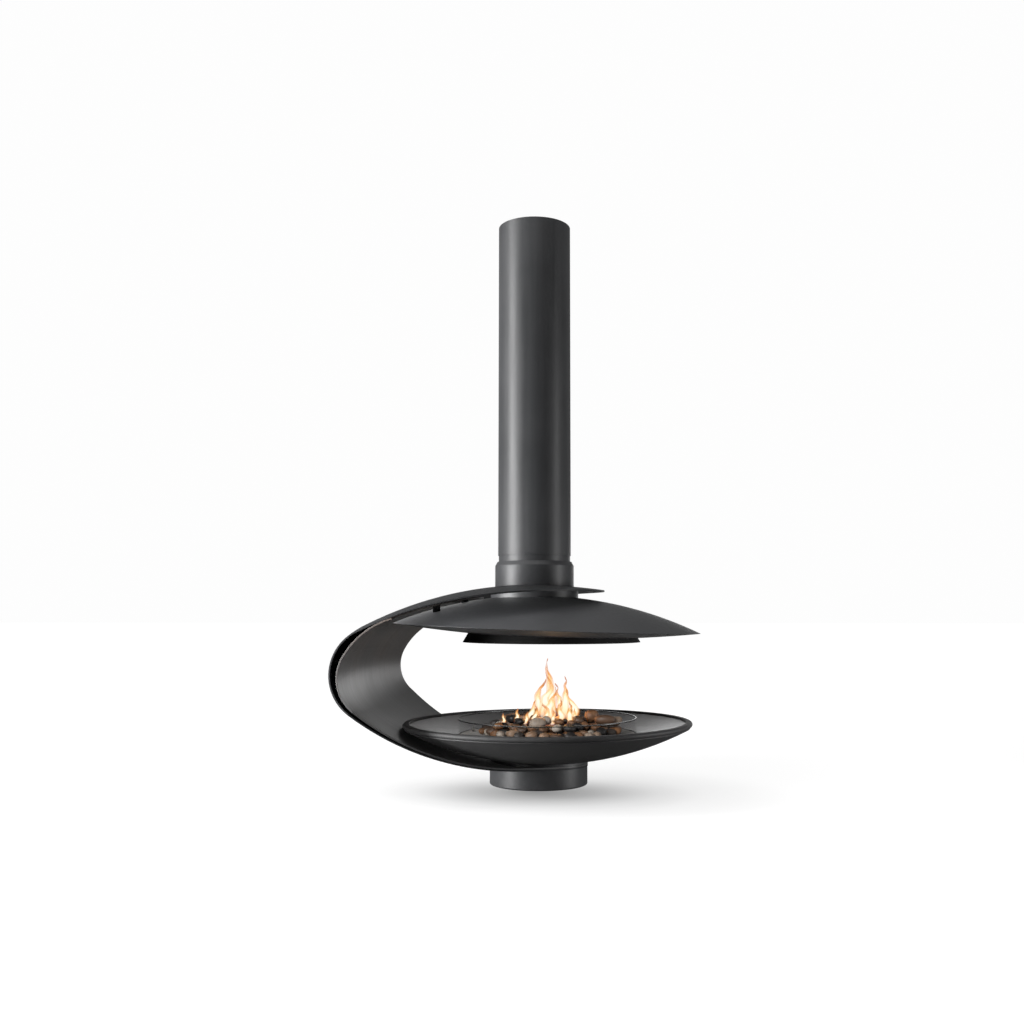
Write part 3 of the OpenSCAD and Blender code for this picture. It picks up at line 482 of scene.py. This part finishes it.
def make_stones():
    rng = random.Random(11)
    groups = {}
    for layer, x, y in bed_spots():
        size = rng.uniform(0.0135, 0.0245)
        half = (size, size * rng.uniform(0.72, 0.9), size * rng.uniform(0.52, 0.68))
        if layer == BED_LAYERS - 1 and rng.random() < TOP_LAYER_GAPS:
            continue
        spot = Vector((BED_X + x + rng.uniform(-0.006, 0.006), y + rng.uniform(-0.006, 0.006),
                       half[2] + 0.0005 + layer * LAYER_RISE + rng.uniform(0, 0.004)))
        tone = min(1, max(0, rng.choice(BED_TONES) + rng.uniform(-0.04, 0.04)))
        groups.setdefault(tone_group(tone), []).append(stone(rng, spot, half, tone))
    for x, y, z, half, tone in TOP_STONES:
        groups[tone_group(tone)].append(stone(rng, Vector((x, y, z)), half, tone))
    for number, (key, made) in enumerate(sorted(groups.items())):
        verts, faces, tones = [], [], []
        for v, f, t in made:
            faces += [tuple(i + len(verts) for i in face) for face in f]
            verts += v
            tones += t
        piece = mesh_piece(f"stones_{key}", verts, faces, [stones_material], "hearth",
                           {"tone": tones})
        if number == 0:
            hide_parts("pebbles")


FLAME_OUTER = flame_material("flame_outer", [
    (0.0, (0.04, 0.02, 0.06)), (0.24, (0.12, 0.045, 0.08)), (0.38, (0.85, 0.27, 0.05)),
    (0.62, (1.0, 0.5, 0.14)), (0.85, (0.9, 0.36, 0.1)), (1.0, (0.6, 0.2, 0.07))],
    [(0.0, 0.7), (0.22, 0.5), (0.4, 0.2), (0.6, 0.17), (0.85, 0.4), (1.0, 0.25)])
FLAME_MID = flame_material("flame_mid", [
    (0.0, (0.06, 0.03, 0.08)), (0.22, (0.25, 0.08, 0.08)), (0.36, (1.0, 0.5, 0.15)),
    (0.6, (1.0, 0.88, 0.62)), (0.85, (1.0, 0.7, 0.32)), (1.0, (0.9, 0.4, 0.12))],
    [(0.0, 0.6), (0.2, 0.4), (0.36, 0.5), (0.6, 0.5), (0.85, 0.5), (1.0, 0.2)], 1.1)
FLAME_CORE = flame_material("flame_core", [
    (0.0, (0.2, 0.08, 0.1)), (0.2, (0.8, 0.4, 0.15)), (0.32, (1.0, 0.92, 0.72)),
    (0.8, (1.0, 0.96, 0.84)), (1.0, (1.0, 0.8, 0.5))],
    [(0.0, 0.1), (0.2, 0.3), (0.32, 0.9), (0.8, 0.85), (1.0, 0.3)], 1.7)


# Width and height of the outer, middle and core shell, as shares of the whole flame
FLAME_SHELLS = ((1.0, 1.0), (0.8, 0.9), (0.58, 0.76))
FLAME_FOOT = -1.722


def flame_body(t):
    """Share of the greatest radius at share t of the height: fullest low down, thin at the tip."""
    return math.sin(math.pi * min(1, t * 1.02) ** 0.62) ** 0.85 * (1 - t) ** 0.35


def flame_wave(seed, up, sway):
    """How far the flame's middle line wanders at share up of its height."""
    slow = noise.noise(Vector((seed, up * 2.1, 0.3)))
    quick = noise.noise(Vector((seed, up * 6, 3)))
    across = noise.noise(Vector((seed, up * 2.1, 7.7)))
    return Vector((slow + 0.3 * quick, across, 0)) * sway * (0.2 + up)


def flame(name, x, y, low, top, radius, sway, seed, levels=36, sides=22):
    """One tongue of flame as three shells in each other, round the same wavering line."""
    verts, faces, rise, slots = [], [], [], []
    for shell, (wide, tall) in enumerate(FLAME_SHELLS):
        start = len(verts)
        for i in range(levels + 1):
            t = i / levels
            up = t * tall
            body = flame_body(t)
            wave = flame_wave(seed, up, sway)
            for j in range(sides):
                a = math.tau * j / sides
                ripple = noise.noise(Vector((math.cos(a) * 1.2 + seed, math.sin(a) * 1.2, up * 3.2)))
                r = radius * wide * max(0.02, body) * (1 + 0.55 * ripple * (0.35 + up))
                verts.append((x + wave.x + r * math.cos(a), y + wave.y + 0.7 * r * math.sin(a),
                              low + (top - low) * up + 0.012 * ripple * up))
                rise.append(t)
        for i in range(levels):
            a = start + i * sides
            faces += [(a + j, a + (j + 1) % sides, a + sides + (j + 1) % sides, a + sides + j)
                      for j in range(sides)]
        faces.append(tuple(start + j for j in reversed(range(sides))))
        faces.append(tuple(start + levels * sides + j for j in range(sides)))
        slots += [shell] * (levels * sides + 2)
    mesh_piece(name, verts, faces, [FLAME_OUTER, FLAME_MID, FLAME_CORE], "hearth",
               {"rise": rise}, slots)


# x, y, height of the tip, greatest radius, sway, seed
FLAMES = [
    (0.066, -0.030, -1.500, 0.023, 0.050, 3.1), (0.040, -0.045, -1.546, 0.022, 0.045, 8.4),
    (0.022, -0.035, -1.572, 0.019, 0.040, 12.7), (0.106, -0.030, -1.562, 0.018, 0.045, 21.3),
    (0.128, -0.020, -1.604, 0.018, 0.036, 5.9), (0.064, -0.062, -1.594, 0.020, 0.036, 31.2),
    (0.120, -0.086, -1.645, 0.014, 0.024, 55.5), (0.092, -0.084, -1.636, 0.014, 0.022, 61.1),
    (-0.006, -0.050, -1.634, 0.015, 0.022, 40.8), (-0.052, -0.062, -1.664, 0.011, 0.018, 47.5),
    (-0.100, -0.036, -1.686, 0.008, 0.012, 83.2), (0.146, -0.056, -1.666, 0.011, 0.016, 66.6),
    (0.044, -0.098, -1.650, 0.014, 0.020, 90.3), (0.012, -0.092, -1.655, 0.013, 0.018, 97.9),
    (0.070, -0.100, -1.668, 0.012, 0.014, 104.2), (0.082, 0.030, -1.590, 0.017, 0.036, 71.9),
    (-0.024, -0.080, -1.676, 0.010, 0.012, 111.6)]


def make_flames():
    for i, (x, y, top, radius, sway, seed) in enumerate(FLAMES):
        flame(f"flame_{i + 1}", x, y, FLAME_FOOT, top, radius, sway, seed)


# ---------------------------------------------------------------- stage and light

FLOOR_Z = cad_box[0][2] - FLOOR_GAP
FLOOR_HALF = 60
BACKDROP = 0.985
# Light of the paper floor as the camera sees it: a painted soft shadow under the hearth, white further off
FLOOR_WHITE_AND_PAINTED_SHADOW = [(0.0, 0.24), (0.0286, 0.4), (0.06, 0.68), (0.08, 0.78), (0.13, 0.86), (1.0, BACKDROP)]
GLOW_REACH = 7.0


def make_floor():
    half, z = FLOOR_HALF, FLOOR_Z
    mesh = bpy.data.meshes.new("floor")
    mesh.from_pydata([(-half, -half, z), (half, -half, z), (half, half, z), (-half, half, z)],
                     [], [(0, 1, 2, 3)])
    floor = bpy.data.objects.new("floor", mesh)
    bpy.context.scene.collection.objects.link(floor)
    m, g = new_material("floor_white")
    paper = g.noise(g.coords(), 2.0, 2)
    shade = g.add("ShaderNodeBsdfDiffuse")
    g.link(g.ramp(paper, [(0.3, (0.25, 0.25, 0.25)), (0.7, (0.27, 0.27, 0.27))]), shade.inputs["Color"])
    # Painted shadow: the emission the camera sees is dimmer close to the hearth's axis and white further off
    away = g.add("ShaderNodeVectorMath", operation="LENGTH")
    g.link(g.coords((1, 1.5, 0)), away.inputs[0])
    far = g.spread(away.outputs["Value"], 0, 1, (0, GLOW_REACH))
    level = g.ramp(far, [(at, (v, v, v)) for at, v in FLOOR_WHITE_AND_PAINTED_SHADOW])
    ray = g.add("ShaderNodeLightPath")
    seen = g.add("ShaderNodeMath", operation="MULTIPLY")
    g.link(ray.outputs["Is Camera Ray"], seen.inputs[0])
    g.link(level, seen.inputs[1])
    fill = g.add("ShaderNodeEmission")
    g.link(seen.outputs[0], fill.inputs["Strength"])
    both = g.add("ShaderNodeAddShader")
    g.link(shade.outputs[0], both.inputs[0])
    g.link(fill.outputs[0], both.inputs[1])
    g.surface(both.outputs[0])
    mesh.materials.append(m)


def make_world():
    """A dim room, brighter behind the fireplace, that the camera sees as white paper."""
    world = bpy.data.worlds.new("world")
    bpy.context.scene.world = world
    world.use_nodes = True
    g = Graph(world.node_tree)
    place = g.add("ShaderNodeTexCoord")
    split = g.add("ShaderNodeSeparateXYZ")
    g.link(place.outputs["Generated"], split.inputs["Vector"])
    room = g.spread(split.outputs["Y"], 0.06, 0.22, (-0.3, 0.9))
    ray = g.add("ShaderNodeLightPath")
    seen = g.add("ShaderNodeMath", operation="MAXIMUM")
    g.link(ray.outputs["Is Camera Ray"], seen.inputs[0])
    g.link(ray.outputs["Is Transmission Ray"], seen.inputs[1])
    level = g.mix(seen.outputs[0], room, (BACKDROP, BACKDROP, BACKDROP))
    back = g.add("ShaderNodeBackground")
    g.link(level, back.inputs["Color"])
    out = g.add("ShaderNodeOutputWorld")
    g.link(back.outputs[0], out.inputs["Surface"])


def area_light(name, at, aim, size, power):
    data = bpy.data.lights.new(name, "AREA")
    data.shape = "RECTANGLE"
    data.size, data.size_y = size
    data.energy = power
    lamp = bpy.data.objects.new(name, data)
    lamp.visible_camera = lamp.visible_transmission = False
    lamp.location = at
    lamp.rotation_euler = (Vector(aim) - Vector(at)).to_track_quat("-Z", "Y").to_euler()
    bpy.context.scene.collection.objects.link(lamp)
    return lamp


def only_on(lamp, names, screens=()):
    """Let a lamp light the named pieces alone, and be blocked by them and by the screens."""
    lit = bpy.data.collections.new(lamp.name + "_on")
    block = bpy.data.collections.new(lamp.name + "_block")
    for name in names:
        lit.objects.link(bpy.data.objects[name])
    for name in list(names) + list(screens):
        block.objects.link(bpy.data.objects[name])
    lamp.light_linking.receiver_collection = lit
    lamp.light_linking.blocker_collection = block


FIRE_BED = ["dish_liner", "burner_tray", "glass_channel", "stones_brown", "stones_dark", "stones_pale"]


def make_lights():
    """Lamps that light everything, then lamps that each light a few pieces."""
    area_light("key_left", (-3.2, -1.3, -0.25), (0, 0, -0.9), (0.9, 3.3), 165)
    area_light("low_left", (-1.9, -1.0, -1.72), (0, 0, -1.8), (0.5, 0.4), 28)
    area_light("low_right", (2.0, -0.25, -1.72), (0, 0, -1.8), (0.4, 0.4), 11)
    area_light("front_left", (-2.9, -1.6, -1.0), (-0.2, 0, -1.6), (1.0, 0.8), 42)
    area_light("top_soft", (0.0, -0.6, 1.6), (0, 0, -1.6), (3.0, 3.0), 34)
    area_light("right_soft", (2.8, -0.6, -1.2), (0, 0, -1.4), (0.6, 2.6), 20)
    area_light("back_soft", (0.6, 3.4, -1.3), (-0.2, 0, -1.5), (2.6, 0.9), 9)

    hood_back = area_light("hood_back", (-1.5, 2.7, -1.05), (-0.45, -0.2, -1.38), (1.7, 1.1), 9)
    only_on(hood_back, ["hood_shell"], ["neck_ring", "nose_bosses"])
    hood_front = area_light("hood_front", (-2.6, -1.2, -0.9), (-0.3, -0.3, -1.37), (1.8, 1.4), 190)
    only_on(hood_front, ["hood_shell", "neck_ring"], ["nose_bosses"])
    dish_back = area_light("dish_back", (0.2, 3.2, -1.2), (0, 0, -1.72), (2.0, 0.6), 10)
    only_on(dish_back, ["dish_liner"])
    ribbon_low = area_light("ribbon_low", (-1.3, -1.9, -1.15), (-0.35, -0.35, -1.78), (0.5, 0.4), 14)
    only_on(ribbon_low, ["inner_ribbon", "outer_ribbon"])
    bowl_left = area_light("bowl_left", (-1.6, -1.5, -1.85), (-0.2, -0.2, -1.75), (0.6, 0.4), 14)
    only_on(bowl_left, ["dish_shell"])
    dish_front = area_light("dish_front", (-1.1, -2.6, -0.7), (0, 0, -1.72), (1.2, 0.6), 85)
    only_on(dish_front, FIRE_BED)


def make_fire_glow():
    """The warm light of the flames on their bed; it turns with the hearth."""
    data = bpy.data.lights.new("fire_glow", "POINT")
    data.energy = 1.5
    data.color = (1.0, 0.42, 0.12)
    data.shadow_soft_size = 0.05
    lamp = bpy.data.objects.new("fire_glow", data)
    lamp.location = (0.05, -0.03, -1.672)
    bpy.context.scene.collection.objects.link(lamp)
    lamp.parent = frame["bodies"]["hearth"]
    only_on(lamp, FIRE_BED)


make_camera()
dress_nodes()
make_stones()
make_flames()
make_floor()
make_world()
make_lights()
make_fire_glow()
bpy.context.scene.view_settings.view_transform = "Standard"
